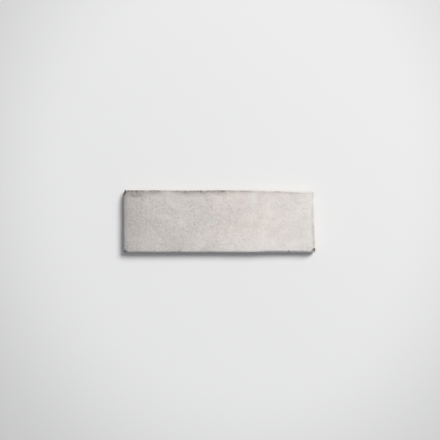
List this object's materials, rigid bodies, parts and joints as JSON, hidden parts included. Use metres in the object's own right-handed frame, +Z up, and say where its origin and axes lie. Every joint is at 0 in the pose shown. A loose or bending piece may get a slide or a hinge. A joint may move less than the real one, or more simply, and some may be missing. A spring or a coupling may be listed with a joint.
{
  "type": "porcelain tile",
  "caption": "Long narrow glazed porcelain wall tile with wavy rustic edges, a gently uneven satin face, chipped corners and a keyed waffle back for adhesive.",
  "frame": {"origin": "middle of the tile's box on the bedding plane, where the ribs of its back touch the floor", "axes": "+X along the tile's length to the right of the picture, +Y across it to the top of the picture, +Z up out of the glazed face"},
  "size_m": [0.2, 0.065, 0.0098],
  "materials": {
    "glazed_porcelain": "satin"
  },
  "bodies": {
    "root": {"tile": "glazed_porcelain"}
  },
  "joints": []
}
